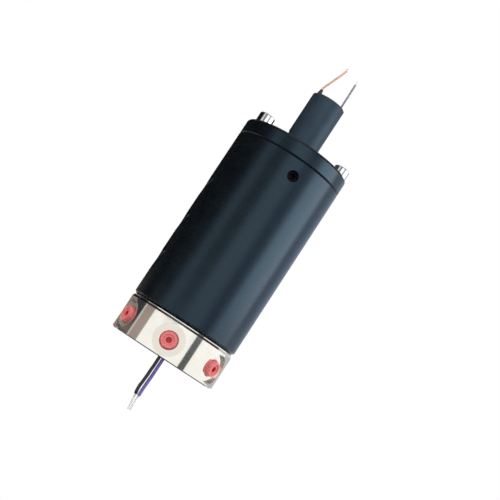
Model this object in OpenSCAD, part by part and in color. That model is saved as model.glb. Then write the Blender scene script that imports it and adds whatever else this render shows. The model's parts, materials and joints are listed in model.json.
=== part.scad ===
// Six-channel pneumatic rotary union with a two-circuit slip ring.
// The nickel-plated rotor is one turned piece: a ported base and a hollow shaft.
// The black housing turns on it on two ball bearings, with a seal on each side of every channel.
// Origin: centre of the base's underside. +Z runs up the axis of rotation. Sizes in millimetres.

/* [Rotor base] */
// Outside diameter of the base and of the housing above it
body_d = 60; // [56:1:68]
// Height of the base's outside
base_h = 18.4; // [18:0.2:24]
// Chamfer on the base's lower edge
base_edge = 0.5; // [0.3:0.1:1]
// Height of the taper above the base's outside
taper_h = 1.1; // [0.6:0.1:2]
// How far that taper runs in
taper_in = 0.6; // [0.3:0.1:1.5]
// Height of the rim above the taper
rim_h = 0.4; // [0.3:0.1:1]
// Turn of the rotor against the housing, in degrees
rotor_turn = 13; // [0:1:59]

/* [Rotor ports] */
// Diameter of the spot face round a rotor port
rotor_face_d = 16.4; // [13:0.2:17]
// Depth of that spot face below the base's outside
rotor_face_depth = 2; // [1.5:0.1:3]
// Tapping diameter of a port, for a G1/8 thread
port_tap_d = 8.8; // [6.8:0.1:9.4]
// Depth of a port's thread
port_tap_depth = 9; // [7:0.5:10]
// Stand-out of a transport plug from its spot face
plug_stand = 2.2; // [1:0.1:5]
// Depth to which a plug is pushed into its port
plug_depth = 6; // [4:0.5:8]
// Diameter of a plug's outer face
plug_face_d = 7.8; // [7:0.1:8.6]
// Diameter of the blind hole in that face
plug_hole_d = 3; // [1.5:0.1:4]
// Depth of that hole
plug_hole_depth = 2; // [1:0.1:4]
// Diameter of the shallow dish round that hole
plug_dish_d = 5.6; // [4.4:0.1:6.4]

/* [Rotor shaft] */
// Diameter of the shaft in its bearings and seals
shaft_d = 30; // [29:0.5:32]
// Bore along the shaft for the leads
wire_bore_d = 10; // [8:0.5:11]
// Diameter of an air channel along the shaft
channel_d = 4; // [3:0.1:4.5]
// Diameter of the circle that the air channels lie on
channel_pcd = 21; // [19.5:0.5:22]
// Diameter of the press-in plug that closes an air channel below
channel_plug_d = 5; // [4.8:0.1:5.4]
// Length of that plug
channel_plug_l = 3; // [2:0.5:4]

/* [Base fixing holes] */
// Diameter of the circle of fixing holes
base_bolt_pcd = 46; // [42:1:48]
// Tapping diameter of a fixing hole, for an M5 thread
base_bolt_d = 4.2; // [3.3:0.1:5]
// Depth of a fixing hole
base_bolt_depth = 12; // [8:0.5:14]

/* [Housing] */
// Running gap between the rotor's rim and the housing
run_gap = 0.4; // [0.3:0.1:1]
// Height of the lowest housing port above the housing's lower end
first_port = 21.5; // [21:0.5:30]
// Distance along the axis from one channel to the next
channel_pitch = 11; // [10.6:0.2:14]
// Distance from the highest port to the housing's upper end
head_room = 22; // [22:0.2:30]
// Chamfer on the housing's lower edge
housing_edge = 1.3; // [0.5:0.1:2]
// Chamfer on each side of the joint between housing and cap
seam_edge = 0.6; // [0.2:0.1:0.8]
// Diameter of the spot face round a housing port
stator_face_d = 14; // [11:0.5:15]
// Depth of that spot face below the housing's outside
stator_face_depth = 1.2; // [1:0.1:2]
// Diameter of the air drilling from a port into its channel
drill_d = 4.5; // [3:0.1:4.8]

/* [Bearings and seals] */
// Outside diameter of the ball bearings
bearing_od = 42; // [41:0.5:43]
// Width of the ball bearings
bearing_w = 7; // [6.5:0.5:8]
// Number of balls in a bearing
ball_count = 17; // [12:1:18]
// Width of a sealing ring
seal_w = 4; // [3:0.1:4.2]
// Wall of a sealing ring
seal_wall = 1.5; // [1:0.1:2]
// Section of the ring that presses a sealing ring inwards
o_ring_d = 2.4; // [2:0.1:2.8]
// Width of the annular groove of a channel
channel_groove_w = 5; // [4.6:0.1:5.2]
// Depth of that groove
channel_groove_depth = 2; // [1:0.1:3]
// Height of the dust seal below the lower bearing
dust_seal_h = 3; // [2:0.5:4]

/* [Cap] */
// Thickness of the cap
cap_h = 8.4; // [6:0.2:12]
// Radius of the cap's rounded upper edge
cap_round = 1.6; // [0.6:0.1:2]
// How far a cap screw sits inside the middle of the housing's wall
cap_screw_in = 0.5; // [0:0.1:0.8]
// Thread diameter of the cap screws
cap_screw_d = 5; // [4:0.5:5]
// Length of a cap screw under its head
cap_screw_l = 20; // [16:1:22]

/* [Set screw] */
// Thread diameter of the set screw that locks the upper bearing
set_screw_d = 6; // [4:0.5:6]
// Depth of the set screw's face below the housing's outside
set_screw_sink = 2.2; // [0.5:0.1:2.5]

/* [Slip ring] */
// Outside diameter of the slip ring's cover
cover_d = 18.8; // [18:0.2:22]
// Height of that cover above the cap
cover_h = 31; // [28:0.5:40]
// Bore of the cover
cover_bore_d = 13.4; // [12.6:0.2:14]
// Diameter of the cover's foot in the cap
cover_foot_d = 16; // [15.5:0.1:17]
// Thickness of the cover's closed end
cover_end = 4; // [3:0.5:6]
// Height of the flat milled on the left of the cover's foot
flat_h = 7; // [2:0.5:10]
// Depth of that flat
flat_depth = 0.8; // [0.4:0.1:1.4]
// Diameter of the contact rings
contact_d = 9; // [8:0.1:9.4]
// Width of a contact ring
contact_w = 4; // [3:0.1:4.5]

/* [Leads] */
// Diameter of a stator lead
stator_lead_d = 1.1; // [0.8:0.1:1.6]
// Distance of a stator lead from the axis
stator_lead_r = 6.8; // [6:0.1:7]
// Diameter of a stator lead's sleeve
sleeve_d = 2.8; // [2.2:0.1:3]
// Stand-out of the orange lead's sleeve
orange_sleeve = 3.3; // [1:0.1:5]
// Stand-out of the violet lead's sleeve
violet_sleeve = 0.9; // [0.5:0.1:5]
// Diameter of a rotor lead
rotor_lead_d = 1.8; // [1:0.1:2]
// Distance of a rotor lead from the axis
rotor_lead_r = 1.05; // [1.05:0.05:3]

/* [Hidden] */
$fn = 96;
CHANNELS = 6;
RINGS = 2;

// Clearances: turning fit, slip fit between fixed pieces, end play and overrun of a cut
run_clear = 0.05;
slip_clear = 0.02;
end_play = 0.5;
over = 1;

// Heights of the housing, its bearings and its cap
rim_top = base_h + taper_h + rim_h;
housing_z = rim_top + run_gap;
housing_l = first_port + (CHANNELS - 1) * channel_pitch + head_room;
housing_top = housing_z + housing_l;
cap_top = housing_top + cap_h;
cover_top = cap_top + cover_h;
dust_seal_z = housing_z + end_play;
low_bearing_z = dust_seal_z + dust_seal_h + end_play;
low_bearing_top = low_bearing_z + bearing_w;
cap_spigot_l = 5.5;
up_bearing_top = housing_top - cap_spigot_l;
up_bearing_z = up_bearing_top - bearing_w;
circlip_h = 1.2;
circlip_depth = 0.7;
circlip_stand = 1;
circlip_ear_d = 4;
circlip_ear_hole_d = 1.6;
circlip_ear_turn = 14;
shaft_end = 3.5;
shaft_edge = 0.8;
shaft_top = up_bearing_top + shaft_end;

// Bearings: the ball grows with the bearing's radial height and with its width
bearing_section = (bearing_od - shaft_d) / 2;
ball_fill = 26 / 21;
ball_d = ball_fill * bearing_section * bearing_w / (bearing_section + bearing_w);
ball_pcd = (bearing_od + shaft_d) / 2;
race_clear = 0.06;
race_gap = 0.28 * ball_d;
cage_wall = 0.25 * ball_d;
cage_h = 1.35 * ball_d;
pocket_clear = 0.1;
shoulder_step = 2;
shoulder_d = shaft_d + 2 * shoulder_step;

// Dust seal: lip, taper behind it and outer flange
dust_lip = 0.6;
dust_taper = 0.6;
dust_flange = 1;

// Transport plugs: fit in the port, taper and depth of the dish
plug_clear = 0.1;
plug_taper = 0.5;
plug_dish_depth = 0.4;

// Seals and channels
bore_clear = 0.5;
bore_d = shaft_d + 2 * bore_clear;
seal_in_d = shaft_d + 2 * run_clear;
seal_out_d = seal_in_d + 2 * seal_wall;
seal_groove_d = seal_out_d + 2 * o_ring_d;
seal_side_clear = 0.1;
channel_groove_d = bore_d + 2 * channel_groove_depth;
port_z = base_h / 2;
port_chamfer = 0.5;

// Cap screws, set screw and their sockets: five equal places, the one above the set screw left free
cap_screw_turns = [198, 126, 54, 342];
screw_head_d = 1.7 * cap_screw_d;
screw_socket = 0.8 * cap_screw_d;
screw_hole_clear = 0.25;
cap_screw_r = (bearing_od + body_d) / 4 - cap_screw_in;
cap_screw_bite = cap_screw_l - cap_h;
screw_tip_room = 2;
head_round = 0.5;
ear_clear = 0.6;
cap_spigot_in = shaft_d / 2 + circlip_ear_d / 2 + ear_clear;
cap_o_ring_d = 1.2;
cap_groove_depth = cap_o_ring_d + 2 * slip_clear;
cap_groove_w = 1.9;
cap_o_ring_z = housing_top - cap_spigot_l / 2;
set_screw_z = (up_bearing_z + up_bearing_top) / 2;
set_screw_socket = set_screw_d / 2;

// Slip ring: spindle, contact rings, brushes and bush
spindle_stem_l = 10;
spindle_flange_h = 1.2;
spindle_flange_step = 1;
contact_wall = 1.5;
spindle_d = contact_d - 2 * contact_wall;
spindle_bore_d = 3;
barrier_step = 0.4;
barrier_d = contact_d + 2 * barrier_step;
barrier_h = 1;
contact_pitch = contact_w + barrier_h;
stack_rise = 4;
stack_z = cap_top + stack_rise;
stack_top = stack_z + RINGS * contact_pitch + barrier_h;
journal_d = 5;
bush_d = 8;
bush_h = 4;
bush_seat = 1.5;
bush_z = cover_top - cover_end + bush_seat - bush_h;
block_gap = 0.6;
block_half_turn = 35;
brush_d = 2;
brush_back = 0.3;

// Chamfer on the cover's upper edge
cover_edge = 0.6;

// Sunk depth of the pieces pushed in from below, and length of the leads' grommet
base_sink = 0.3;
grommet_l = 5;

// Leads: points chosen by hand, measured from the place where each lead leaves its sleeve or grommet
sleeve_tip_wall = 0.2;
orange_exit = [-stator_lead_r, 0, cover_top + orange_sleeve];
orange_steps = [
    [0, 0, 0], [0, 0, 1], [0.5, 0.1, 2.5], [1.3, 0.2, 4.5], [2.1, 0.4, 6.5], [2.9, 0.7, 8.5],
    [3.7, 1.1, 10.5], [4.5, 1.7, 12.5], [5.2, 2.6, 14.3], [5.8, 3.8, 15.9], [6.3, 5.2, 17.2], [6.7, 6.8, 18.3],
    [7, 8.5, 19.2], [7.3, 10.3, 19.9], [7.5, 12.2, 20.5], [7.7, 14.2, 21], [7.8, 16.2, 21.4]
];
violet_exit = [stator_lead_r, 0, cover_top + violet_sleeve];
violet_steps = [
    [0, 0, 0], [0, 0, 1.5], [0, 0.1, 3.5], [0, 0.3, 5.5], [0.1, 0.6, 7.5], [0.1, 1, 9.5],
    [0.2, 1.6, 11.5], [0.3, 2.4, 13.3], [0.5, 3.5, 14.9], [0.7, 4.8, 16.3], [0.9, 6.3, 17.5], [1.2, 7.9, 18.5],
    [1.5, 9.6, 19.3], [1.8, 11.4, 20], [2.1, 13.3, 20.6], [2.4, 15.2, 21.1], [2.7, 17.1, 21.5]
];
black_exit = [-rotor_lead_r, 0, base_sink];
black_steps = [
    [0, 0, 0], [0, 0, -2], [0, 0, -4], [0, 0, -6], [-0.1, 0, -8], [-0.1, 0, -10.5], [-0.2, 0, -13],
    [-0.3, 0.1, -15.5], [-0.5, 0.2, -18], [-0.3, 0.4, -20.5], [0.1, 0.6, -22.5], [0.4, 0.7, -24.5],
    [0.7, 0.8, -26.5], [1, 0.9, -28.5], [1.3, 1, -31]
];
tail_exit = [rotor_lead_r, 0, base_sink];
tail_steps = [
    [0, 0, 0], [0, 0, -2], [0, 0, -4], [0, 0, -6], [0, 0, -8], [0, 0, -10.5], [-0.1, 0, -13],
    [-0.2, -0.1, -15.5], [-0.3, -0.2, -18], [-0.3, -0.4, -20.5], [-0.3, -0.6, -22.5], [-0.3, -0.7, -24.5],
    [-0.2, -0.8, -26.5], [-0.2, -0.9, -28.5], [-0.1, -1, -31]
];
LEAD_SIDES = 8;

// Height of channel i, from 1 at the bottom
function channel_z(i) = housing_z + first_port + (i - 1) * channel_pitch;

// Height of seal i, half a pitch below channel i
function seal_z(i) = channel_z(i) - channel_pitch / 2;

// Direction of rotor port i; port 1 is the one nearest the housing's set screw
function rotor_port_turn(i) = 270 - rotor_turn + (i - 1) * 360 / CHANNELS;

// Direction of housing port i: odd channels on the left row, even ones on the rear row
function stator_port_turn(i) = i % 2 == 1 ? 180 : 90;

// Places a child made along +Z so that it points outwards at an angle and a height
module outward(turn, z) {
    translate([0, 0, z])
        rotate([0, 90, turn])
            children();
}

// A ring of rectangular section
module ring(inner_d, outer_d, z, h) {
    translate([0, 0, z])
        rotate_extrude()
            translate([inner_d / 2, 0])
                square([(outer_d - inner_d) / 2, h]);
}

// A ring of round section
module round_ring(middle_d, section_d, z) {
    translate([0, 0, z])
        rotate_extrude()
            translate([middle_d / 2, 0])
                circle(d = section_d, $fn = 48);
}

// The hole of one air port, from its spot face inwards to the radius where its drilling ends
module air_port(outside_d, face_d, face_depth, drill_end) {
    face_r = outside_d / 2 - face_depth;
    translate([0, 0, face_r])
        cylinder(d = face_d, h = face_depth + over);
    translate([0, 0, face_r - port_tap_depth])
        cylinder(d = port_tap_d, h = port_tap_depth + over);
    translate([0, 0, face_r - port_chamfer])
        cylinder(d1 = port_tap_d, d2 = port_tap_d + 2 * port_chamfer, h = port_chamfer);
    translate([0, 0, drill_end])
        cylinder(d = drill_d, h = face_r - drill_end);
}

// Outline of half the rotor: base, taper and rim, bearing shoulder, shaft and circlip groove
module rotor_outline() {
    base_r = body_d / 2;
    rim_r = base_r - taper_in;
    groove_d = shaft_d - 2 * circlip_depth;
    polygon([
        [wire_bore_d / 2, 0],
        [base_r - base_edge, 0],
        [base_r, base_edge],
        [base_r, base_h],
        [rim_r, base_h + taper_h],
        [rim_r, rim_top],
        [shoulder_d / 2, rim_top],
        [shoulder_d / 2, low_bearing_z],
        [shaft_d / 2, low_bearing_z],
        [shaft_d / 2, up_bearing_top],
        [groove_d / 2, up_bearing_top],
        [groove_d / 2, up_bearing_top + circlip_h],
        [shaft_d / 2, up_bearing_top + circlip_h],
        [shaft_d / 2, shaft_top - shaft_edge],
        [shaft_d / 2 - shaft_edge, shaft_top],
        [wire_bore_d / 2, shaft_top]
    ]);
}

// One air channel of the rotor: up the shaft from below, then out to the shaft's surface
module rotor_channel(i) {
    rotate(rotor_port_turn(i))
        translate([channel_pcd / 2, 0, -over]) {
            cylinder(d = channel_plug_d, h = channel_plug_l + over);
            cylinder(d = channel_d, h = channel_z(i) + over);
        }
    outward(rotor_port_turn(i), channel_z(i))
        translate([0, 0, channel_pcd / 2])
            cylinder(d = channel_d, h = shaft_d / 2);
}

module rotor() {
    color("gainsboro")
        difference() {
            rotate_extrude()
                rotor_outline();
            for (i = [1:CHANNELS]) {
                rotor_channel(i);
                outward(rotor_port_turn(i), port_z)
                    air_port(body_d, rotor_face_d, rotor_face_depth, channel_pcd / 2);
                rotate(rotor_port_turn(i) + 180 / CHANNELS)
                    translate([base_bolt_pcd / 2, 0, -over])
                        cylinder(d = base_bolt_d, h = base_bolt_depth + over);
            }
        }
}

module channel_plugs() {
    color("silver")
        for (i = [1:CHANNELS])
            rotate(rotor_port_turn(i))
                translate([channel_pcd / 2, 0, base_sink])
                    cylinder(d = channel_plug_d - 2 * slip_clear, h = channel_plug_l - base_sink);
}

// A transport plug, tapered at both ends, with a dished face and a blind hole in it
module port_plug(i) {
    face_r = body_d / 2 - rotor_face_depth;
    fit_d = port_tap_d - 2 * plug_clear;
    color("tomato")
        outward(rotor_port_turn(i), port_z)
            translate([0, 0, face_r])
                difference() {
                    union() {
                        translate([0, 0, -plug_depth])
                            cylinder(d1 = fit_d - plug_taper, d2 = fit_d, h = plug_depth);
                        cylinder(d1 = fit_d, d2 = plug_face_d, h = plug_stand);
                    }
                    translate([0, 0, plug_stand - plug_hole_depth])
                        cylinder(d = plug_hole_d, h = plug_hole_depth + over);
                    translate([0, 0, plug_stand - plug_dish_depth])
                        cylinder(d = plug_dish_d, h = plug_dish_depth + over);
                }
}

// Moulded grommet in the mouth of the wire bore, from which the rotor leads come out
module lead_grommet() {
    color("dimgray")
        translate([0, 0, base_sink])
            cylinder(d = wire_bore_d - 2 * slip_clear, h = grommet_l);
}

// Raceway groove that the balls run in
module raceway(z) {
    round_ring(ball_pcd, ball_d + 2 * race_clear, z + bearing_w / 2);
}

module inner_race(z) {
    color("lightsteelblue")
        difference() {
            ring(shaft_d + 2 * slip_clear, ball_pcd - 2 * race_gap, z, bearing_w);
            raceway(z);
        }
}

module outer_race(z) {
    color("lightsteelblue")
        difference() {
            ring(ball_pcd + 2 * race_gap, bearing_od - 2 * slip_clear, z, bearing_w);
            raceway(z);
        }
}

// Places a child once for each ball of a bearing
module at_each_ball(z) {
    for (k = [0:ball_count - 1])
        rotate(k * 360 / ball_count)
            translate([ball_pcd / 2, 0, z + bearing_w / 2])
                children();
}

module balls(z) {
    color("white")
        at_each_ball(z)
            sphere(d = ball_d);
}

module cage(z) {
    color("goldenrod")
        difference() {
            ring(ball_pcd - cage_wall, ball_pcd + cage_wall, z + (bearing_w - cage_h) / 2, cage_h);
            at_each_ball(z)
                rotate([0, 90, 0])
                    cylinder(d = ball_d + 2 * pocket_clear, h = ball_d, center = true);
        }
}

// Retaining ring with its gap and two ears for the pliers
module shaft_circlip() {
    thickness = circlip_h - 2 * slip_clear;
    inner_d = shaft_d - 2 * circlip_depth + 2 * slip_clear;
    color("slategray")
        translate([0, 0, up_bearing_top + slip_clear])
            difference() {
                union() {
                    cylinder(d = shaft_d + 2 * circlip_stand, h = thickness);
                    for (side = [-1, 1])
                        rotate(side * circlip_ear_turn)
                            translate([shaft_d / 2, 0, 0])
                                cylinder(d = circlip_ear_d, h = thickness);
                }
                translate([0, 0, -over])
                    cylinder(d = inner_d, h = thickness + 2 * over);
                translate([0, -circlip_ear_d / 2, -over])
                    cube([shaft_d, circlip_ear_d, thickness + 2 * over]);
                for (side = [-1, 1])
                    rotate(side * circlip_ear_turn)
                        translate([shaft_d / 2, 0, -over])
                            cylinder(d = circlip_ear_hole_d, h = thickness + 2 * over);
            }
}

// Dust seal: a ring with a thin lip that points down at the shaft's shoulder
module dust_seal() {
    lip_in = shoulder_d / 2 + run_clear;
    outer = bearing_od / 2 - slip_clear;
    color("dimgray")
        translate([0, 0, dust_seal_z])
            rotate_extrude()
                polygon([
                    [lip_in, 0],
                    [lip_in + dust_lip, 0],
                    [lip_in + dust_lip + dust_taper, dust_seal_h / 2],
                    [outer - dust_flange, dust_seal_h / 2],
                    [outer - dust_flange, 0],
                    [outer, 0],
                    [outer, dust_seal_h],
                    [lip_in + dust_lip, dust_seal_h],
                    [lip_in, dust_lip]
                ]);
}

// Places a child at each cap screw's axis
module at_each_cap_screw(z) {
    for (turn = cap_screw_turns)
        rotate(turn)
            translate([cap_screw_r, 0, z])
                children();
}

// Outline of half the housing, with its bore, bearing seats and edge chamfers
module housing_outline() {
    r = body_d / 2;
    seat_r = bearing_od / 2;
    polygon([
        [seat_r, housing_z],
        [r - housing_edge, housing_z],
        [r, housing_z + housing_edge],
        [r, housing_top - seam_edge],
        [r - seam_edge, housing_top],
        [seat_r, housing_top],
        [seat_r, up_bearing_z],
        [bore_d / 2, up_bearing_z],
        [bore_d / 2, low_bearing_top],
        [seat_r, low_bearing_top]
    ]);
}

module housing() {
    seal_groove_w = seal_w + 2 * seal_side_clear;
    color([0.13, 0.15, 0.17])
        difference() {
            rotate_extrude()
                housing_outline();
            for (i = [1:CHANNELS]) {
                ring(shaft_d, channel_groove_d, channel_z(i) - channel_groove_w / 2, channel_groove_w);
                outward(stator_port_turn(i), channel_z(i))
                    air_port(body_d, stator_face_d, stator_face_depth, bore_d / 2);
            }
            for (i = [1:CHANNELS + 1])
                ring(shaft_d, seal_groove_d, seal_z(i) - seal_groove_w / 2, seal_groove_w);
            at_each_cap_screw(housing_top - cap_screw_bite - screw_tip_room)
                cylinder(d = cap_screw_d + 2 * slip_clear, h = cap_screw_bite + screw_tip_room + over);
            outward(270, set_screw_z)
                translate([0, 0, bearing_od / 2 - over])
                    cylinder(d = set_screw_d + 2 * slip_clear, h = body_d / 2);
        }
}

module seal_ring(i) {
    color("ivory")
        ring(seal_in_d, seal_out_d, seal_z(i) - seal_w / 2, seal_w);
}

module seal_spring(i) {
    section = o_ring_d - 2 * run_clear;
    color("dimgray")
        round_ring(seal_out_d + o_ring_d, section, seal_z(i));
}

// Outline of half the cap: plate, spigot over the upper bearing and groove for its sealing ring
module cap_outline() {
    r = body_d / 2;
    spigot_r = bearing_od / 2 - slip_clear;
    groove_r = spigot_r - cap_groove_depth;
    polygon([
        [cover_foot_d / 2, housing_top],
        [cap_spigot_in, housing_top],
        [cap_spigot_in, up_bearing_top],
        [spigot_r, up_bearing_top],
        [spigot_r, cap_o_ring_z - cap_groove_w / 2],
        [groove_r, cap_o_ring_z - cap_groove_w / 2],
        [groove_r, cap_o_ring_z + cap_groove_w / 2],
        [spigot_r, cap_o_ring_z + cap_groove_w / 2],
        [spigot_r, housing_top],
        [r - seam_edge, housing_top],
        [r, housing_top + seam_edge],
        [r, cap_top - cap_round],
        [r - cap_round, cap_top - cap_round],
        [r - cap_round, cap_top],
        [cover_foot_d / 2, cap_top]
    ]);
    translate([r - cap_round, cap_top - cap_round])
        circle(r = cap_round);
}

module cap() {
    color([0.14, 0.16, 0.18])
        difference() {
            rotate_extrude()
                cap_outline();
            at_each_cap_screw(housing_top - over)
                cylinder(d = cap_screw_d + 2 * screw_hole_clear, h = cap_h + 2 * over);
        }
}

module cap_o_ring() {
    color("dimgray")
        round_ring(bearing_od - 2 * slip_clear - cap_groove_depth, cap_o_ring_d, cap_o_ring_z);
}

// Socket head cap screw standing on the plane z = 0
module cap_screw() {
    difference() {
        union() {
            translate([0, 0, -cap_screw_l])
                cylinder(d = cap_screw_d, h = cap_screw_l);
            rotate_extrude()
                polygon([
                    [0, 0],
                    [screw_head_d / 2, 0],
                    [screw_head_d / 2, cap_screw_d - head_round],
                    [screw_head_d / 2 - head_round, cap_screw_d],
                    [0, cap_screw_d]
                ]);
        }
        translate([0, 0, cap_screw_d / 2])
            cylinder(d = screw_socket / cos(30), h = cap_screw_d, $fn = 6);
    }
}

module cap_screws() {
    color("silver")
        at_each_cap_screw(cap_top)
            cap_screw();
}

// Cup-point set screw with a hexagon socket, bearing on the upper outer race
module set_screw() {
    tip = bearing_od / 2 + slip_clear;
    face = body_d / 2 - set_screw_sink;
    point_h = set_screw_d / 6;
    color("dimgray")
        outward(270, set_screw_z)
            difference() {
                union() {
                    translate([0, 0, tip])
                        cylinder(d1 = set_screw_d - 2 * point_h, d2 = set_screw_d, h = point_h);
                    translate([0, 0, tip + point_h])
                        cylinder(d = set_screw_d, h = face - tip - point_h);
                }
                translate([0, 0, face - set_screw_socket])
                    cylinder(d = set_screw_socket / cos(30), h = set_screw_d, $fn = 6);
            }
}

// Outline of half the slip ring's cover: foot in the cap, tube and closed end with a bush seat
module cover_outline() {
    r = cover_d / 2;
    bore_r = cover_bore_d / 2;
    ceiling = cover_top - cover_end;
    polygon([
        [bore_r, housing_top],
        [cover_foot_d / 2 - slip_clear, housing_top],
        [cover_foot_d / 2 - slip_clear, cap_top],
        [r, cap_top],
        [r, cover_top - cover_edge],
        [r - cover_edge, cover_top],
        [0, cover_top],
        [0, ceiling + bush_seat],
        [bush_d / 2 + slip_clear, ceiling + bush_seat],
        [bush_d / 2 + slip_clear, ceiling],
        [bore_r, ceiling]
    ]);
}

module slip_ring_cover() {
    color([0.15, 0.17, 0.19])
        difference() {
            rotate_extrude()
                cover_outline();
            for (side = [-1, 1])
                translate([side * stator_lead_r, 0, cover_top - cover_end - over])
                    cylinder(d = sleeve_d, h = cover_end + 2 * over);
            translate([flat_depth - cover_d, -cover_d / 2, cap_top])
                cube([cover_d / 2, cover_d, flat_h]);
        }
}

// Outline of half the spindle: stem in the shaft, flange, ring seats with barriers, and journal
module spindle_outline() {
    flange_r = wire_bore_d / 2 + spindle_flange_step;
    polygon(concat(
        [
            [spindle_bore_d / 2, shaft_top - spindle_stem_l],
            [wire_bore_d / 2 - slip_clear, shaft_top - spindle_stem_l],
            [wire_bore_d / 2 - slip_clear, shaft_top],
            [flange_r, shaft_top],
            [flange_r, shaft_top + spindle_flange_h],
            [spindle_d / 2, shaft_top + spindle_flange_h],
            [spindle_d / 2, stack_z]
        ],
        [for (k = [0:RINGS], step = [
            [barrier_d / 2, 0],
            [barrier_d / 2, barrier_h],
            [spindle_d / 2, barrier_h],
            [spindle_d / 2, contact_pitch]
        ]) if (k < RINGS || step[1] <= barrier_h) [step[0], stack_z + k * contact_pitch + step[1]]],
        [
            [journal_d / 2, stack_top],
            [journal_d / 2, bush_z + bush_h - end_play],
            [spindle_bore_d / 2, bush_z + bush_h - end_play]
        ]
    ));
}

module slip_ring_spindle() {
    color("khaki")
        rotate_extrude()
            spindle_outline();
}

// Middle height of contact ring k
function contact_z(k) = stack_z + barrier_h + (k - 1) * contact_pitch + contact_w / 2;

module contact_ring(k) {
    color("gold")
        ring(
            spindle_d + 2 * slip_clear,
            contact_d,
            contact_z(k) - contact_w / 2 + slip_clear,
            contact_w - 2 * slip_clear
        );
}

// Insulating block on the cover's wall that guides the two brushes
module brush_block() {
    color("darkolivegreen")
        difference() {
            translate([0, 0, stack_z])
                rotate([0, 0, 270 - block_half_turn])
                    rotate_extrude(angle = 2 * block_half_turn)
                        translate([barrier_d / 2 + block_gap, 0])
                            square([
                                cover_bore_d / 2 - slip_clear - barrier_d / 2 - block_gap,
                                stack_top - stack_z
                            ]);
            for (k = [1:RINGS])
                outward(270, contact_z(k))
                    cylinder(d = brush_d + 2 * slip_clear, h = cover_d);
        }
}

module brush(k) {
    color("darkgray")
        outward(270, contact_z(k))
            difference() {
                cylinder(d = brush_d, h = cover_bore_d / 2 - brush_back);
                rotate([0, 90, 0])
                    cylinder(d = contact_d + 2 * run_clear, h = 2 * brush_d, center = true);
            }
}

module spindle_bush() {
    color("peru")
        ring(journal_d + 2 * run_clear, bush_d, bush_z, bush_h);
}

// Tapered sleeve round a stator lead, pushed into the cover's end
module lead_sleeve(side, stand) {
    tip_d = stator_lead_d + 2 * sleeve_tip_wall;
    color([0.1, 0.1, 0.11])
        translate([side * stator_lead_r, 0, cover_top - cover_end]) {
            cylinder(d = sleeve_d - 2 * slip_clear, h = cover_end);
            translate([0, 0, cover_end])
                cylinder(d1 = sleeve_d - 2 * slip_clear, d2 = tip_d, h = stand);
        }
}

function unit(v) = v / norm(v);

// Direction of a route at its point i
function route_way(route, i) = unit(route[min(i + 1, len(route) - 1)] - route[max(i - 1, 0)]);

// Points of the lead's skin round its point i
function lead_ring(route, i, lead_d) =
    let (way = route_way(route, i), across = unit(cross([0, 1, 0], way)), up = cross(way, across))
    [for (k = [0:LEAD_SIDES - 1])
        route[i] + lead_d / 2 * (cos(k * 360 / LEAD_SIDES) * across + sin(k * 360 / LEAD_SIDES) * up)];

// A lead: a plain tube from its exit along its steps
module lead(exit, steps, lead_d) {
    n = LEAD_SIDES;
    last = len(steps) - 1;
    route = [for (step = steps) exit + step];
    polyhedron(
        points = [for (i = [0:last]) each lead_ring(route, i, lead_d)],
        faces = concat(
            [[for (k = [0:n - 1]) k]],
            [for (i = [0:last - 1], k = [0:n - 1])
                [i * n + k, (i + 1) * n + k, (i + 1) * n + (k + 1) % n, i * n + (k + 1) % n]],
            [[for (k = [n - 1:-1:0]) last * n + k]]
        )
    );
}

module stator_lead_orange() {
    color("sandybrown")
        lead(orange_exit, orange_steps, stator_lead_d);
}

module stator_lead_violet() {
    color("mediumpurple")
        lead(violet_exit, violet_steps, stator_lead_d);
}

module rotor_lead_black() {
    color("black")
        lead(black_exit, black_steps, rotor_lead_d);
}

module rotor_lead_violet() {
    color("mediumpurple")
        lead(tail_exit, tail_steps, rotor_lead_d);
}

rotor();
channel_plugs();
lead_grommet();
port_plug(1);  // port_plug_1
port_plug(2);  // port_plug_2
port_plug(3);  // port_plug_3
port_plug(4);  // port_plug_4
port_plug(5);  // port_plug_5
port_plug(6);  // port_plug_6
rotor_lead_black();
rotor_lead_violet();
inner_race(low_bearing_z);  // lower_inner_race
outer_race(low_bearing_z);  // lower_outer_race
balls(low_bearing_z);  // lower_balls
cage(low_bearing_z);  // lower_cage
inner_race(up_bearing_z);  // upper_inner_race
outer_race(up_bearing_z);  // upper_outer_race
balls(up_bearing_z);  // upper_balls
cage(up_bearing_z);  // upper_cage
shaft_circlip();
dust_seal();
housing();
seal_ring(1);  // seal_ring_1
seal_ring(2);  // seal_ring_2
seal_ring(3);  // seal_ring_3
seal_ring(4);  // seal_ring_4
seal_ring(5);  // seal_ring_5
seal_ring(6);  // seal_ring_6
seal_ring(7);  // seal_ring_7
seal_spring(1);  // seal_spring_1
seal_spring(2);  // seal_spring_2
seal_spring(3);  // seal_spring_3
seal_spring(4);  // seal_spring_4
seal_spring(5);  // seal_spring_5
seal_spring(6);  // seal_spring_6
seal_spring(7);  // seal_spring_7
cap();
cap_o_ring();
cap_screws();
set_screw();
slip_ring_cover();
slip_ring_spindle();
contact_ring(1);  // contact_ring_1
contact_ring(2);  // contact_ring_2
brush_block();
brush(1);  // brush_1
brush(2);  // brush_2
spindle_bush();
lead_sleeve(-1, orange_sleeve);  // lead_sleeve_orange
lead_sleeve(1, violet_sleeve);  // lead_sleeve_violet
stator_lead_orange();
stator_lead_violet();
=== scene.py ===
import json
import math

import bpy
from mathutils import Matrix, Vector


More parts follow.
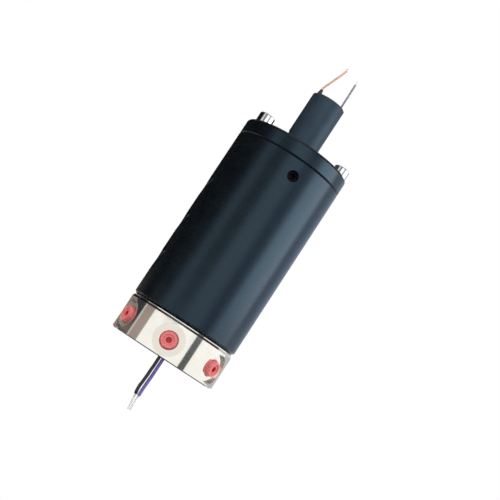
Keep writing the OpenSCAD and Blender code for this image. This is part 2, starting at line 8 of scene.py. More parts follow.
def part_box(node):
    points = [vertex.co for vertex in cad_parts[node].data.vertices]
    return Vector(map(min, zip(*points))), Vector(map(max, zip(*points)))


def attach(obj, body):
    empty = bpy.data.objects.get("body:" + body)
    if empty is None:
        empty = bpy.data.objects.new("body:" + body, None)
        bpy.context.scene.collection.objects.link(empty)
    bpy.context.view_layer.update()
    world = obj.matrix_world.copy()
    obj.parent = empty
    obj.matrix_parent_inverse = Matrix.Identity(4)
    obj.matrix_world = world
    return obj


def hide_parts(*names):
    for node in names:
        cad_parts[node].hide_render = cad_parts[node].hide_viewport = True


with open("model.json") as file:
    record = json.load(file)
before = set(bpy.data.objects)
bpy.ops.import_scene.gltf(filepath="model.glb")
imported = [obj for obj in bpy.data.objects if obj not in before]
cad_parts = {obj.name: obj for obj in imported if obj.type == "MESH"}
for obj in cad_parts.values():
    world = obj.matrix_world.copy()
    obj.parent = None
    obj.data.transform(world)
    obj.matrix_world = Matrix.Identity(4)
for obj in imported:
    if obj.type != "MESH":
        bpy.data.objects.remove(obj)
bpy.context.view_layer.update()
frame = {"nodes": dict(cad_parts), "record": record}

# Rotor. One turned steel piece: the ported base, and the long shaft that the housing turns on.
# It is drilled across and along for six air channels and bright nickel plated. The lathe's marks
# run round it under the plate, and the cut chamfers and milled spot face walls stay duller.
NOISE_LOW, NOISE_HIGH = 0.3, 0.7
METAL_MOTTLE_SCALE, METAL_MOTTLE_DETAIL = 160.0, 4.0
MARK_DEPTH = 0.00002
MARK_STRETCH = 12.0
MARK_DETAIL = 3.0
PORT_CHAMFER_R = 0.0051
PORT_CHAMFER_ROUGHNESS = 0.5
SPOT_WALL_R = 0.0082
SPOT_WALL_BAND = 0.00008
SPOT_WALL_ROUGHNESS = 0.35
rotor_ports = [mount for mount in frame["record"]["mounts"] if mount["name"].startswith("rotor_port")]
PORT_TURN = math.atan2(rotor_ports[0]["axis"][1], rotor_ports[0]["axis"][0])
PORT_HEIGHT = rotor_ports[0]["pos_m"][2]
PORT_HALF_STEP = math.pi / len(rotor_ports)


def new_finish(name):
    material = bpy.data.materials.new(name)
    material.use_nodes = True
    tree = material.node_tree
    return material, tree.nodes, tree.links, tree.nodes["Principled BSDF"]


def object_place(nodes, links, scale=(1.0, 1.0, 1.0)):
    where = nodes.new("ShaderNodeTexCoord")
    mapping = nodes.new("ShaderNodeMapping")
    mapping.inputs["Scale"].default_value = scale
    links.new(where.outputs["Object"], mapping.inputs["Vector"])
    return mapping.outputs["Vector"]


def grain(nodes, links, place, scale, detail):
    noise = nodes.new("ShaderNodeTexNoise")
    noise.inputs["Scale"].default_value = scale
    noise.inputs["Detail"].default_value = detail
    links.new(place, noise.inputs["Vector"])
    return noise.outputs["Fac"]


def mottled(nodes, links, place, scale, detail, dark, light):
    ramp = nodes.new("ShaderNodeValToRGB")
    ramp.color_ramp.elements[0].position = NOISE_LOW
    ramp.color_ramp.elements[0].color = (*dark, 1.0)
    ramp.color_ramp.elements[1].position = NOISE_HIGH
    ramp.color_ramp.elements[1].color = (*light, 1.0)
    links.new(grain(nodes, links, place, scale, detail), ramp.inputs["Fac"])
    return ramp.outputs["Color"]


def raise_grain(nodes, links, shader, height, strength, depth):
    bump = nodes.new("ShaderNodeBump")
    bump.inputs["Strength"].default_value = strength
    bump.inputs["Distance"].default_value = depth
    links.new(height, bump.inputs["Height"])
    links.new(bump.outputs["Normal"], shader.inputs["Normal"])


def spread_roughness(nodes, links, shader, factor, roughness):
    spread = nodes.new("ShaderNodeMapRange")
    spread.inputs["From Min"].default_value = NOISE_LOW
    spread.inputs["From Max"].default_value = NOISE_HIGH
    spread.inputs["To Min"].default_value = roughness[0]
    spread.inputs["To Max"].default_value = roughness[1]
    links.new(factor, spread.inputs["Value"])
    links.new(spread.outputs["Result"], shader.inputs["Roughness"])


def turned_skin(nodes, links, shader, colour, roughness, marks, mark_strength):
    links.new(colour, shader.inputs["Base Color"])
    round_marks = object_place(nodes, links, (MARK_STRETCH, MARK_STRETCH, marks))
    height = grain(nodes, links, round_marks, scale=1.0, detail=MARK_DETAIL)
    raise_grain(nodes, links, shader, height, mark_strength, MARK_DEPTH)
    spread_roughness(nodes, links, shader, height, roughness)


def metal_finish(name, dark, light, roughness, marks, mark_strength):
    material, nodes, links, shader = new_finish(name)
    shader.inputs["Metallic"].default_value = 1.0
    place = object_place(nodes, links)
    colour = mottled(nodes, links, place, METAL_MOTTLE_SCALE, METAL_MOTTLE_DETAIL, dark, light)
    turned_skin(nodes, links, shader, colour, roughness, marks, mark_strength)
    return material


def math_step(nodes, links, operation, *values):
    step = nodes.new("ShaderNodeMath")
    step.operation = operation
    for socket, value in zip(step.inputs, values):
        if isinstance(value, float):
            socket.default_value = value
        else:
            links.new(value, socket)
    return step.outputs["Value"]


# Distance of a point of the base from the axis of the nearest port.
def port_distance(nodes, links):
    split = nodes.new("ShaderNodeSeparateXYZ")
    links.new(object_place(nodes, links), split.inputs["Vector"])
    x, y, z = split.outputs["X"], split.outputs["Y"], split.outputs["Z"]
    turn = math_step(nodes, links, "SUBTRACT", math_step(nodes, links, "ARCTAN2", y, x), PORT_TURN)
    turn = math_step(nodes, links, "WRAP", turn, PORT_HALF_STEP, -PORT_HALF_STEP)
    square = math_step(nodes, links, "MULTIPLY", x, x)
    reach = math_step(nodes, links, "SQRT", math_step(nodes, links, "MULTIPLY_ADD", y, y, square))
    side = math_step(nodes, links, "MULTIPLY", math_step(nodes, links, "SINE", turn), reach)
    rise = math_step(nodes, links, "SUBTRACT", z, PORT_HEIGHT)
    square = math_step(nodes, links, "MULTIPLY", rise, rise)
    return math_step(nodes, links, "SQRT", math_step(nodes, links, "MULTIPLY_ADD", side, side, square))


def dress(finish, *names):
    for name in names:
        slots = frame["nodes"][name].data.materials
        slots.clear()
        slots.append(finish)


nickel = metal_finish("bright_nickel_plate", dark=(0.89, 0.86, 0.79), light=(0.95, 0.92, 0.86),
                      roughness=(0.06, 0.11), marks=5000.0, mark_strength=0.1)
nodes, links = nickel.node_tree.nodes, nickel.node_tree.links
gloss = nodes["Principled BSDF"].inputs["Roughness"]
distance = port_distance(nodes, links)
chamfer = math_step(nodes, links, "LESS_THAN", distance, PORT_CHAMFER_R)
chamfer = math_step(nodes, links, "MULTIPLY", chamfer, PORT_CHAMFER_ROUGHNESS)
wall = math_step(nodes, links, "COMPARE", distance, SPOT_WALL_R, SPOT_WALL_BAND)
wall = math_step(nodes, links, "MULTIPLY", wall, SPOT_WALL_ROUGHNESS)
dull = math_step(nodes, links, "MAXIMUM", chamfer, wall)
links.new(math_step(nodes, links, "MAXIMUM", gloss.links[0].from_socket, dull), gloss)
dress(nickel, "rotor")

# Channel plugs. Small steel discs, turned and zinc plated, pressed in from below until they sit
# just inside the base's underside, where they close the drilled ends of the six air channels.
bright_zinc = metal_finish("bright_zinc_plate", dark=(0.74, 0.74, 0.73), light=(0.88, 0.88, 0.87),
                           roughness=(0.14, 0.24), marks=3000.0, mark_strength=0.15)
dress(bright_zinc, "channel_plugs")

# Transport plugs. Soft moulded polyethylene with a dished face and a blind hole, pushed by hand
# into the base's six ports to keep dirt out. The blind hole is painted a darker red as painted shade.
PLASTIC_MOTTLE_DETAIL = 3.0
PLASTIC_BUMP = 0.08
PLASTIC_BUMP_DEPTH = 0.00003
PLASTIC_BUMP_FINENESS = 4
PLASTIC_BUMP_DETAIL = 2.0
PLUG_COUNT = len(rotor_ports)
# Painted shade of the blind hole: its radius, how far it is mixed in, and its dark red.
PLUG_HOLE_R = 0.00156
PLUG_HOLE_PAINTED_SHADE_SHARE = 0.8
PLUG_HOLE_PAINTED_SHADE_RED = (0.62, 0.03, 0.035)


def plastic_finish(name, dark, light, roughness, grain_scale):
    material, nodes, links, shader = new_finish(name)
    place = object_place(nodes, links)
    colour = mottled(nodes, links, place, grain_scale, PLASTIC_MOTTLE_DETAIL, dark, light)
    links.new(colour, shader.inputs["Base Color"])
    height = grain(nodes, links, place, PLASTIC_BUMP_FINENESS * grain_scale, PLASTIC_BUMP_DETAIL)
    spread_roughness(nodes, links, shader, height, roughness)
    raise_grain(nodes, links, shader, height, PLASTIC_BUMP, PLASTIC_BUMP_DEPTH)
    return material


plug_red = plastic_finish("plug_red", dark=(0.66, 0.14, 0.14), light=(0.76, 0.2, 0.19),
                          roughness=(0.38, 0.5), grain_scale=700.0)
nodes, links = plug_red.node_tree.nodes, plug_red.node_tree.links
skin = nodes["Principled BSDF"].inputs["Base Color"]
# Painted shade: inside the blind hole, round the port's axis, the red is mixed toward a dark red that
# stands in for the shade in the hole.
painted_shade_mask = math_step(nodes, links, "LESS_THAN", port_distance(nodes, links), PLUG_HOLE_R)
painted_hole_shade = nodes.new("ShaderNodeMix")
painted_hole_shade.data_type = "RGBA"
painted_hole_shade.inputs["B"].default_value = (*PLUG_HOLE_PAINTED_SHADE_RED, 1.0)
links.new(math_step(nodes, links, "MULTIPLY", painted_shade_mask, PLUG_HOLE_PAINTED_SHADE_SHARE), painted_hole_shade.inputs["Factor"])
links.new(skin.links[0].from_socket, painted_hole_shade.inputs["A"])
links.new(painted_hole_shade.outputs["Result"], skin)
dress(plug_red, *["port_plug_%d" % (i + 1) for i in range(PLUG_COUNT)])

# Grommet, dust seal and rubber rings. Moulded nitrile rubber, matt black. The grommet is pushed
# into the shaft's bore, the dust seal sits under the lower bearing, and the rings lie in grooves.
SEAL_COUNT = 7
rubber = plastic_finish("nitrile_rubber", dark=(0.016, 0.016, 0.016), light=(0.03, 0.03, 0.03),
                        roughness=(0.6, 0.75), grain_scale=1200.0)
dress(rubber, "lead_grommet", "dust_seal", "cap_o_ring")
dress(rubber, *["seal_spring_%d" % (i + 1) for i in range(SEAL_COUNT)])

# Rotor leads. Two stranded copper wires in extruded insulation, black and violet, held by the
# grommet. They hang below the base, and their free ends are stripped and tinned.
ROTOR_LEAD_DIAMETER = 0.0018
ROTOR_LEAD_REACH = 0.00105
STRIPPED_SHARE = 0.55
STRIP_NICK = 0.02
LEAD_FACETS = 4
LEAD_ROUGHNESS = 0.38
LEAD_MOTTLE_SCALE, LEAD_MOTTLE_DETAIL = 900.0, 3.0
TIN_MOTTLE_SCALE, TIN_MOTTLE_DETAIL = 500.0, 2.0
TIN_METALLIC = 0.4
TIN_DARK, TIN_LIGHT = (0.84, 0.83, 0.82), (0.92, 0.91, 0.9)


def lead_finish(name, dark, light, strip_height, upwards):
    material, nodes, links, shader = new_finish(name)
    place = object_place(nodes, links)
    split = nodes.new("ShaderNodeSeparateXYZ")
    links.new(place, split.inputs["Vector"])
    past = "GREATER_THAN" if upwards else "LESS_THAN"
    stripped = math_step(nodes, links, past, split.outputs["Z"], strip_height)
    insulation = mottled(nodes, links, place, LEAD_MOTTLE_SCALE, LEAD_MOTTLE_DETAIL, dark, light)
    tin = mottled(nodes, links, place, TIN_MOTTLE_SCALE, TIN_MOTTLE_DETAIL, TIN_DARK, TIN_LIGHT)
    mix = nodes.new("ShaderNodeMix")
    mix.data_type = "RGBA"
    links.new(stripped, mix.inputs["Factor"])
    links.new(insulation, mix.inputs["A"])
    links.new(tin, mix.inputs["B"])
    links.new(mix.outputs["Result"], shader.inputs["Base Color"])
    links.new(math_step(nodes, links, "MULTIPLY", stripped, TIN_METALLIC), shader.inputs["Metallic"])
    shader.inputs["Roughness"].default_value = LEAD_ROUGHNESS
    return material


# The route's steps are in millimetres from the exit. The wire is bare past step number strip_step.
def make_lead(name, node, body, diameter, exit_place, steps, strip_step, dark, light):
    route = [Vector(exit_place) + Vector(step) / 1000 for step in steps]
    strip = route[strip_step]
    nick = strip + (route[strip_step + 1] - strip) * STRIP_NICK
    points = route[: strip_step + 1] + [nick] + route[strip_step + 1:]
    curve = bpy.data.curves.new(name, "CURVE")
    curve.dimensions = "3D"
    curve.bevel_depth = diameter / 2
    curve.bevel_resolution = LEAD_FACETS
    curve.use_fill_caps = True
    spline = curve.splines.new("POLY")
    spline.points.add(len(points) - 1)
    for i, place in enumerate(points):
        spline.points[i].co = (*place, 1.0)
        spline.points[i].radius = STRIPPED_SHARE if i > strip_step else 1.0
    spline.use_smooth = True
    upwards = route[-1].z > route[0].z
    curve.materials.append(lead_finish(name + "_insulation", dark, light, strip.z, upwards))
    lead = bpy.data.objects.new(name, curve)
    bpy.context.scene.collection.objects.link(lead)
    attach(lead, body)
    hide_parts(node)


make_lead(
    "black_lead", "rotor_lead_black", "rotor", ROTOR_LEAD_DIAMETER,
    exit_place=(-ROTOR_LEAD_REACH, 0.0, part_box("lead_grommet")[0].z),
    steps=[(0, 0, 0), (0, 0, -2), (0, 0, -4), (0, 0, -6), (-0.1, 0, -8), (-0.1, 0, -10.5),
           (-0.2, 0, -13), (-0.3, 0.1, -15.5), (-0.5, 0.2, -18), (-0.3, 0.4, -20.5), (0.1, 0.6, -22.5),
           (0.4, 0.7, -24.5), (0.7, 0.8, -26.5), (1, 0.9, -28.5), (1.3, 1, -31)],
    strip_step=10, dark=(0.012, 0.012, 0.014), light=(0.03, 0.03, 0.036),
)
make_lead(
    "violet_lead", "rotor_lead_violet", "rotor", ROTOR_LEAD_DIAMETER,
    exit_place=(ROTOR_LEAD_REACH, 0.0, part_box("lead_grommet")[0].z),
    steps=[(0, 0, 0), (0, 0, -2), (0, 0, -4), (0, 0, -6), (0, 0, -8), (0, 0, -10.5),
           (-0.1, 0, -13), (-0.2, -0.1, -15.5), (-0.3, -0.2, -18), (-0.3, -0.4, -20.5),
           (-0.3, -0.6, -22.5), (-0.3, -0.7, -24.5), (-0.2, -0.8, -26.5), (-0.2, -0.9, -28.5),
           (-0.1, -1, -31)],
    strip_step=10, dark=(0.14, 0.1, 0.4), light=(0.23, 0.18, 0.58),
)

# Bearings. Rings and balls of ground and polished bearing steel, with a stamped brass cage.
# The inner rings are pressed on the shaft and the outer rings sit in the housing's ends.
bearing_steel = metal_finish("ground_bearing_steel", dark=(0.6, 0.61, 0.62), light=(0.72, 0.73, 0.74),
                             roughness=(0.15, 0.25), marks=8000.0, mark_strength=0.1)
cage_brass = metal_finish("stamped_brass", dark=(0.66, 0.48, 0.2), light=(0.78, 0.6, 0.3),
                          roughness=(0.25, 0.4), marks=2000.0, mark_strength=0.1)
for end in ("lower", "upper"):
    dress(bearing_steel, end + "_inner_race", end + "_outer_race", end + "_balls")
    dress(cage_brass, end + "_cage")

# Circlip. Stamped from spring steel and phosphated dark grey. It snaps into the groove
# at the shaft's upper end and keeps the upper bearing on it.
spring_steel = metal_finish("phosphated_spring_steel", dark=(0.14, 0.14, 0.15), light=(0.22, 0.22, 0.23),
                            roughness=(0.4, 0.55), marks=400.0, mark_strength=0.1)
dress(spring_steel, "shaft_circlip")

# Sealing rings. Turned from a filled fluoropolymer, off-white, one on each side of every channel.
# They lie in the housing's grooves, and a rubber ring behind each presses it on the shaft.
seal_white = plastic_finish("seal_fluoropolymer", dark=(0.72, 0.7, 0.62), light=(0.82, 0.8, 0.74),
                            roughness=(0.35, 0.5), grain_scale=900.0)
dress(seal_white, *["seal_ring_%d" % (i + 1) for i in range(SEAL_COUNT)])

# Housing. A turned aluminium tube with spot-faced air ports, slid over the shaft onto its bearings.
# It is satin anodised, black with a cold blue cast in its gloss.
ANODISED_IOR = 1.6
ANODISED_GLOSS_TINT = (0.46, 0.74, 1.0)
ANODISED_MOTTLE_SCALE, ANODISED_MOTTLE_DETAIL = 120.0, 5.0
ANODISED_MARKS, ANODISED_MARK_STRENGTH = 3500.0, 0.1


def anodised_finish(name, dark, light, roughness):
    material, nodes, links, shader = new_finish(name)
    shader.inputs["IOR"].default_value = ANODISED_IOR
    shader.inputs["Specular Tint"].default_value = (*ANODISED_GLOSS_TINT, 1.0)
    place = object_place(nodes, links)
    colour = mottled(nodes, links, place, ANODISED_MOTTLE_SCALE, ANODISED_MOTTLE_DETAIL, dark, light)
    turned_skin(nodes, links, shader, colour, roughness, ANODISED_MARKS, ANODISED_MARK_STRENGTH)
    return material


anodised = anodised_finish("black_anodised", dark=(0.0025, 0.0034, 0.0044),
                           light=(0.0045, 0.006, 0.0075), roughness=(0.23, 0.3))
dress(anodised, "housing")

# Port threads. The turns of the G1/8 pipe thread that is tapped into each housing port.
# They are cut before the anodising, so they are as black as the housing.
PORT_THREAD_PITCH = 0.000907
PORT_THREAD_TURNS = 8
PORT_THREAD_SINK = 0.5 * PORT_THREAD_PITCH
PORT_THREAD_CREST = 0.00018
PORT_THREAD_CORNERS = 3
PORT_THREAD_STEPS = 32
housing_ports = [mount for mount in frame["record"]["mounts"] if mount["name"].startswith("stator_port")]
bpy.ops.object.select_all(action="DESELECT")
bpy.ops.mesh.primitive_circle_add(vertices=PORT_THREAD_CORNERS, radius=PORT_THREAD_CREST,
                                  rotation=(math.pi / 2, 0.0, 0.0),
                                  location=(housing_ports[0]["dims"]["r_mm"] / 1000, 0.0, 0.0))
thread = bpy.context.object
bpy.ops.object.transform_apply(location=True, rotation=True, scale=True)
turns = thread.modifiers.new("turns", "SCREW")
turns.axis = "Z"
turns.screw_offset = PORT_THREAD_PITCH
turns.iterations = PORT_THREAD_TURNS
turns.steps = PORT_THREAD_STEPS
turns.render_steps = PORT_THREAD_STEPS
bpy.ops.object.modifier_apply(modifier="turns")
bpy.ops.object.mode_set(mode="EDIT")
bpy.ops.mesh.select_all(action="SELECT")
bpy.ops.mesh.fill_holes(sides=PORT_THREAD_CORNERS)
bpy.ops.mesh.normals_make_consistent(inside=False)
bpy.ops.object.mode_set(mode="OBJECT")
thread.data.materials.append(anodised)
for port in housing_ports:
    bpy.ops.object.select_all(action="DESELECT")
    thread.select_set(True)
    bpy.context.view_layer.objects.active = thread
    bpy.ops.object.duplicate()
    port_thread = bpy.context.object
    port_thread.name = port["name"] + "_thread"
    port_way = Vector(port["axis"])
    port_thread.rotation_mode = "QUATERNION"
    port_thread.rotation_quaternion = port_way.to_track_quat("Z", "X")
    depth = PORT_THREAD_SINK + PORT_THREAD_PITCH * PORT_THREAD_TURNS
    port_thread.location = Vector(port["pos_m"]) - port_way * depth
    bpy.ops.object.transform_apply(location=True, rotation=True, scale=True)
    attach(port_thread, "housing")
bpy.data.objects.remove(thread)

# Set screw. A headless steel screw with a hexagon socket, black oxide finished. It is screwed
# through the housing's wall against the upper bearing's outer ring.
black_oxide = metal_finish("black_oxide_steel", dark=(0.006, 0.006, 0.007), light=(0.013, 0.013, 0.015),
                           roughness=(0.4, 0.55), marks=900.0, mark_strength=0.1)
dress(black_oxide, "set_screw")

# Cap. A turned aluminium plate with a rounded upper edge and a spigot that fits the housing's bore.
# It is anodised in one bath with the housing.
dress(anodised, "cap")

# Cap screws. Socket head screws of steel, with polished and bright nickel plated heads,
# that hold the cap on the housing.
polished_steel = metal_finish("polished_screw_steel", dark=(0.82, 0.82, 0.81), light=(0.92, 0.92, 0.91),
                              roughness=(0.05, 0.09), marks=3000.0, mark_strength=0.05)
dress(polished_steel, "cap_screws")

# Slip ring. A moulded spindle on the shaft's end carries two gold-washed brass contact rings.
# Brushes in a moulded block run on them, and a sintered bronze bush guides the spindle's tip.
spindle_plastic = plastic_finish("spindle_moulding", dark=(0.6, 0.52, 0.3), light=(0.72, 0.64, 0.42),
                                 roughness=(0.4, 0.55), grain_scale=800.0)
dress(spindle_plastic, "slip_ring_spindle")
block_plastic = plastic_finish("block_moulding", dark=(0.05, 0.1, 0.05), light=(0.09, 0.16, 0.09),
                               roughness=(0.4, 0.55), grain_scale=800.0)
dress(block_plastic, "brush_block")
contact_gold = metal_finish("gold_washed_brass", dark=(0.74, 0.55, 0.24), light=(0.86, 0.68, 0.34),
                            roughness=(0.15, 0.3), marks=3000.0, mark_strength=0.1)
dress(contact_gold, "contact_ring_1", "contact_ring_2", "brush_1", "brush_2")
bush_bronze = metal_finish("sintered_bronze", dark=(0.44, 0.26, 0.12), light=(0.58, 0.38, 0.2),
                           roughness=(0.45, 0.6), marks=500.0, mark_strength=0.2)
dress(bush_bronze, "spindle_bush")

# Slip ring cover. A turned aluminium tube, closed at its upper end, with its foot let into the cap.
# Its anodising is a little lighter and more matt than the housing's.
cover_anodised = anodised_finish("cover_black_anodised", dark=(0.013, 0.02, 0.028),
                                 light=(0.02, 0.028, 0.038), roughness=(0.45, 0.55))
dress(cover_anodised, "slip_ring_cover")

# Lead sleeves. Short lengths of black shrink sleeve, pushed into the cover's end, that taper
# onto the two leads and keep them from chafing.
sleeve_black = plastic_finish("shrink_sleeve", dark=(0.014, 0.014, 0.016), light=(0.028, 0.028, 0.03),
                              roughness=(0.5, 0.65), grain_scale=1500.0)
dress(sleeve_black, "lead_sleeve_orange", "lead_sleeve_violet")

# Stator leads. Two thinner wires, orange and grey-violet, out of the sleeves on the cover's end.
# They are made like the rotor leads, stiff enough to stand, and bend over to the rear.
STATOR_LEAD_DIAMETER = 0.0011
STATOR_LEAD_REACH = 0.0068
make_lead(
    "orange_lead", "stator_lead_orange", "housing", STATOR_LEAD_DIAMETER,
    exit_place=(-STATOR_LEAD_REACH, 0.0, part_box("lead_sleeve_orange")[1].z),
    steps=[(0, 0, 0), (0, 0, 1), (0.5, 0.1, 2.5), (1.3, 0.2, 4.5), (2.1, 0.4, 6.5), (2.9, 0.7, 8.5),
           (3.7, 1.1, 10.5), (4.5, 1.7, 12.5), (5.2, 2.6, 14.3), (5.8, 3.8, 15.9), (6.3, 5.2, 17.2),
           (6.7, 6.8, 18.3), (7, 8.5, 19.2), (7.3, 10.3, 19.9), (7.5, 12.2, 20.5), (7.7, 14.2, 21),
           (7.8, 16.2, 21.4)],
    strip_step=10, dark=(0.5, 0.25, 0.14), light=(0.66, 0.38, 0.25),
)
make_lead(
    "grey_lead", "stator_lead_violet", "housing", STATOR_LEAD_DIAMETER,
    exit_place=(STATOR_LEAD_REACH, 0.0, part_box("lead_sleeve_violet")[1].z),
    steps=[(0, 0, 0), (0, 0, 1.5), (0, 0.1, 3.5), (0, 0.3, 5.5), (0.1, 0.6, 7.5), (0.1, 1, 9.5),
           (0.2, 1.6, 11.5), (0.3, 2.4, 13.3), (0.5, 3.5, 14.9), (0.7, 4.8, 16.3), (0.9, 6.3, 17.5),
           (1.2, 7.9, 18.5), (1.5, 9.6, 19.3), (1.8, 11.4, 20), (2.1, 13.3, 20.6), (2.4, 15.2, 21.1),
           (2.7, 17.1, 21.5)],
    strip_step=9, dark=(0.16, 0.15, 0.18), light=(0.26, 0.24, 0.28),
)

# Camera. A long lens level with the base looks slightly up the housing. It is rolled over,
# so that the union's axis leans to the right in the picture.
CAMERA_PLACE = Vector((-0.10318, -0.60525, 0.00259))
CAMERA_YAW = math.radians(10.387)
CAMERA_PITCH = math.radians(6.336)
CAMERA_ROLL = math.radians(33.221)
CAMERA_SENSOR, CAMERA_LENS = 36.0, 86.57
CAMERA_NEAR = 0.01
camera = bpy.data.objects.new("camera", bpy.data.cameras.new("camera"))
bpy.context.scene.collection.objects.link(camera)
camera.data.sensor_width = CAMERA_SENSOR
camera.data.lens = CAMERA_LENS
camera.data.clip_start = CAMERA_NEAR
camera.matrix_world = (
    Matrix.Translation(CAMERA_PLACE)
    @ Matrix.Rotation(-CAMERA_YAW, 4, "Z")
    @ Matrix.Rotation(math.pi / 2 + CAMERA_PITCH, 4, "X")
    @ Matrix.Rotation(CAMERA_ROLL, 4, "Z")
)
bpy.context.scene.camera = camera

# Floor. A round pale board, well below the base and the hanging leads.
# It keeps the part's shadow, and is lifted to white for the camera.
FLOOR_RADIUS = 0.48
FLOOR_SIDES = 96
FLOOR_HEIGHT = -0.2
FLOOR_DARK, FLOOR_LIGHT = (0.8, 0.8, 0.8), (0.82, 0.82, 0.82)
FLOOR_MOTTLE_SCALE, FLOOR_MOTTLE_DETAIL = 30.0, 2.0
FLOOR_ROUGHNESS = 0.9
FLOOR_LIFT = 0.6
bpy.ops.object.select_all(action="DESELECT")
bpy.ops.mesh.primitive_circle_add(vertices=FLOOR_SIDES, radius=FLOOR_RADIUS, fill_type="NGON",
                                  location=(0.0, 0.0, FLOOR_HEIGHT))
floor = bpy.context.object
floor.name = "floor"
floor_paint, nodes, links, shader = new_finish("pale_floor")
place = object_place(nodes, links)
board = mottled(nodes, links, place, FLOOR_MOTTLE_SCALE, FLOOR_MOTTLE_DETAIL, FLOOR_DARK, FLOOR_LIGHT)
links.new(board, shader.inputs["Base Color"])
shader.inputs["Roughness"].default_value = FLOOR_ROUGHNESS
shader.inputs["Emission Color"].default_value = (1.0, 1.0, 1.0, 1.0)
ray = nodes.new("ShaderNodeLightPath")
links.new(math_step(nodes, links, "MULTIPLY", ray.outputs["Is Camera Ray"], FLOOR_LIFT),
          shader.inputs["Emission Strength"])
floor.data.materials.append(floor_paint)

# Reflector cards. Plain cards, grey or slightly tinted, that stand and lie round the part. They are
# seen only in its polished and satin surfaces, where they draw the dark and light bands of a
# studio shot. Turns are in degrees from the camera, to the right.
VIEW_TURN = math.radians(-9.62)
CARD_DISTANCE = 0.9
CARD_LOW, CARD_SPLIT, CARD_HIGH = -0.5, 0.055, 1.0
LEFT_CARD_TURNS = (-120.0, -88.0)
LEFT_CARD_STEPS = (-0.006, 0.011)
RIGHT_CARD_TURNS = (104.0, 165.0)
RIGHT_CARD_TOP = 0.36
CREAM_CARD_TURNS = (-10.0, -4.0)
CREAM_CARD_LOW, CREAM_CARD_DISTANCE = -0.05, 0.8
LEVEL_CARD_SIDES = 72
LOWER_CARD_HEIGHT, UPPER_CARD_HEIGHT = -0.12, 0.4
LOWER_CARD_RINGS = (0.002, 0.075, 0.25)
UPPER_CARD_RINGS = (0.002, 0.17, 0.55)


def card_paint(card, shade):
    paint = bpy.data.materials.new(card.name)
    paint.use_nodes = True
    tree = paint.node_tree
    tree.nodes.clear()
    glow = tree.nodes.new("ShaderNodeEmission")
    glow.inputs["Color"].default_value = (*shade, 1.0)
    out = tree.nodes.new("ShaderNodeOutputMaterial")
    tree.links.new(glow.outputs["Emission"], out.inputs["Surface"])
    card.data.materials.append(paint)
    card.visible_camera = False
    card.visible_diffuse = False
    card.visible_shadow = False
    card.visible_transmission = False


def upright_card(name, turn_low, turn_high, shade, low, high, distance=CARD_DISTANCE):
    middle = VIEW_TURN + math.radians((turn_low + turn_high) / 2)
    half = math.radians((turn_high - turn_low) / 2)
    bpy.ops.object.select_all(action="DESELECT")
    bpy.ops.mesh.primitive_plane_add(size=1.0)
    card = bpy.context.object
    card.name = name
    card.scale = (2 * distance * math.tan(half), high - low, 1.0)
    card.rotation_euler = (math.pi / 2, 0.0, middle)
    card.location = (distance * math.sin(middle), -distance * math.cos(middle), (low + high) / 2)
    card_paint(card, shade)


def level_card(name, height, inner, outer, turn_low, turn_high, shade):
    bpy.ops.object.select_all(action="DESELECT")
    bpy.ops.mesh.primitive_circle_add(vertices=LEVEL_CARD_SIDES, radius=outer, location=(0.0, 0.0, height))
    card = bpy.context.object
    card.name = name
    bpy.ops.object.mode_set(mode="EDIT")
    bpy.ops.mesh.select_all(action="SELECT")
    bpy.ops.mesh.extrude_edges_move()
    bpy.ops.transform.resize(value=(inner / outer, inner / outer, 1.0))
    bpy.ops.mesh.select_mode(type="FACE")
    bpy.ops.mesh.select_all(action="DESELECT")
    bpy.ops.object.mode_set(mode="OBJECT")
    for face in card.data.polygons:
        turn = math.degrees(math.atan2(face.center.x, -face.center.y) - VIEW_TURN) % 360.0
        face.select = (turn - turn_low) % 360.0 > turn_high - turn_low
    bpy.ops.object.mode_set(mode="EDIT")
    bpy.ops.mesh.delete(type="FACE")
    bpy.ops.object.mode_set(mode="OBJECT")
    card_paint(card, shade)


for name, turn_low, turn_high, shade in (
    ("base_card_right_dark", 34.0, 48.0, (0.1, 0.11, 0.11)),
    ("base_card_left_brown", -84.0, -62.0, (0.36, 0.3, 0.28)),
    ("base_card_left_streak", -88.0, -84.0, (0.6, 0.57, 0.55)),
    ("base_card_rear_left", -165.0, -120.0, (0.25, 0.21, 0.2)),
    ("base_card_rear_right", 122.0, 160.0, (0.52, 0.52, 0.51)),
):
    upright_card(name, turn_low, turn_high, shade, CARD_LOW, CARD_SPLIT)
for name, low, high, shade in (
    ("base_card_left_dark", LEFT_CARD_STEPS[1], CARD_SPLIT, (0.035, 0.04, 0.045)),
    ("base_card_left_low", LEFT_CARD_STEPS[0], LEFT_CARD_STEPS[1], (0.2, 0.17, 0.16)),
    ("base_card_left_lowest", CARD_LOW, LEFT_CARD_STEPS[0], (0.035, 0.04, 0.045)),
):
    upright_card(name, *LEFT_CARD_TURNS, shade, low, high)
for name, turn_low, turn_high, shade in (
    ("housing_card_rear_left", -180.0, -130.0, (0.012, 0.012, 0.012)),
    ("housing_card_left", -130.0, -66.0, (0.008, 0.008, 0.008)),
    ("housing_card_left_fade", -66.0, -56.0, (0.2, 0.2, 0.2)),
    ("housing_card_left_grey", -56.0, -37.0, (0.75, 0.75, 0.75)),
    ("housing_card_middle_dark", -37.0, -10.0, (0.25, 0.25, 0.25)),
    ("housing_card_middle_light", -7.0, 26.0, (1.2, 1.2, 1.2)),
    ("housing_card_right_grey", 26.0, 48.0, (0.46, 0.5, 0.59)),
):
    upright_card(name, turn_low, turn_high, shade, CARD_SPLIT, CARD_HIGH)
for name, low, high, shade in (
    ("housing_card_rear_right", CARD_SPLIT, RIGHT_CARD_TOP, (0.56, 0.68, 0.85)),
    ("housing_card_rear_right_high", RIGHT_CARD_TOP, CARD_HIGH, (0.6, 0.6, 0.58)),
):
    upright_card(name, *RIGHT_CARD_TURNS, shade, low, high)
upright_card("cream_card", *CREAM_CARD_TURNS, (0.87, 0.84, 0.8), CREAM_CARD_LOW, CARD_SPLIT,
             CREAM_CARD_DISTANCE)
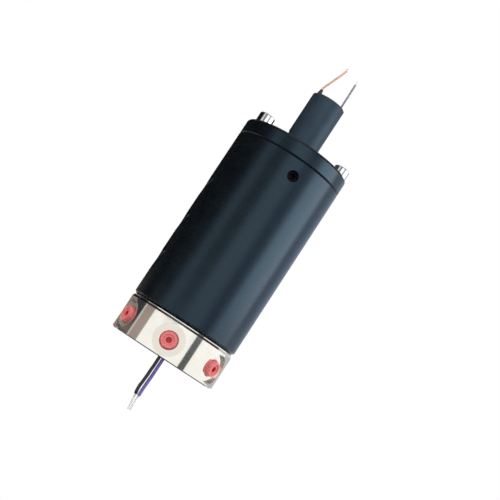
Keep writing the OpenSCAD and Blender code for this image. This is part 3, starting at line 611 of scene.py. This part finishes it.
for name, ring, turn_low, turn_high, shade in (
    ("lower_middle_card", 0, 0.0, 360.0, (0.05, 0.05, 0.05)),
    ("lower_rear_card", 1, 80.0, 280.0, (0.11, 0.11, 0.11)),
    ("lower_front_card", 1, -80.0, 80.0, (0.3, 0.28, 0.27)),
):
    level_card(name, LOWER_CARD_HEIGHT, *LOWER_CARD_RINGS[ring:ring + 2], turn_low, turn_high, shade)
for name, ring, turn_low, turn_high, shade in (
    ("upper_middle_card", 0, 0.0, 360.0, (0.3, 0.3, 0.3)),
    ("upper_dark_card", 1, -130.0, 130.0, (0.03, 0.03, 0.03)),
    ("upper_rear_card", 1, 130.0, 230.0, (0.25, 0.25, 0.25)),
):
    level_card(name, UPPER_CARD_HEIGHT, *UPPER_CARD_RINGS[ring:ring + 2], turn_low, turn_high, shade)

# Lamps. A tall soft box at the right, a square one over the camera, one from above,
# and a weak fill at the left that no reflection shows.
AIM_HEIGHT = 0.07


def soft_box(name, turn, lift, distance, width, height, power, aim_height=AIM_HEIGHT):
    lamp = bpy.data.objects.new(name, bpy.data.lights.new(name, "AREA"))
    bpy.context.scene.collection.objects.link(lamp)
    lamp.data.shape = "RECTANGLE"
    lamp.data.size = width
    lamp.data.size_y = height
    lamp.data.energy = power
    a, e = VIEW_TURN + math.radians(turn), math.radians(lift)
    aim = Vector((0.0, 0.0, aim_height))
    way = Vector((math.sin(a) * math.cos(e), -math.cos(a) * math.cos(e), math.sin(e)))
    lamp.location = aim + distance * way
    lamp.rotation_euler = (aim - lamp.location).to_track_quat("-Z", "Y").to_euler()
    lamp.visible_camera = False
    return lamp


soft_box("right_soft_box", turn=79.0, lift=0.0, distance=0.85, width=0.72, height=0.9, power=4.3,
         aim_height=0.52)
soft_box("front_soft_box", turn=-12.0, lift=50.0, distance=1.2, width=0.8, height=0.8, power=7.0)
soft_box("top_soft_box", turn=30.0, lift=80.0, distance=1.2, width=1.0, height=1.0, power=6.0)
left_fill = soft_box("left_fill_box", turn=-85.0, lift=10.0, distance=1.0, width=0.8, height=0.8,
                     power=2.6)
left_fill.visible_glossy = False

# Background. A plain room, white to the camera, in reflections and through clear pieces.
# For all other light it is a soft, slightly cold grey fill.
FILL_COLOUR = (0.95, 0.97, 1.0)
FILL_STRENGTH = 0.55
world = bpy.data.worlds.new("white_room")
bpy.context.scene.world = world
world.use_nodes = True
nodes, links = world.node_tree.nodes, world.node_tree.links
nodes.clear()
ray = nodes.new("ShaderNodeLightPath")
seen = math_step(nodes, links, "MAXIMUM", ray.outputs["Is Camera Ray"], ray.outputs["Is Glossy Ray"])
seen = math_step(nodes, links, "MAXIMUM", seen, ray.outputs["Is Transmission Ray"])
white = nodes.new("ShaderNodeBackground")
white.inputs["Color"].default_value = (1.0, 1.0, 1.0, 1.0)
white.inputs["Strength"].default_value = 1.0
fill = nodes.new("ShaderNodeBackground")
fill.inputs["Color"].default_value = (*FILL_COLOUR, 1.0)
fill.inputs["Strength"].default_value = FILL_STRENGTH
choose = nodes.new("ShaderNodeMixShader")
links.new(seen, choose.inputs["Fac"])
links.new(fill.outputs["Background"], choose.inputs[1])
links.new(white.outputs["Background"], choose.inputs[2])
out = nodes.new("ShaderNodeOutputWorld")
links.new(choose.outputs["Shader"], out.inputs["Surface"])
bpy.context.scene.view_settings.view_transform = "Standard"
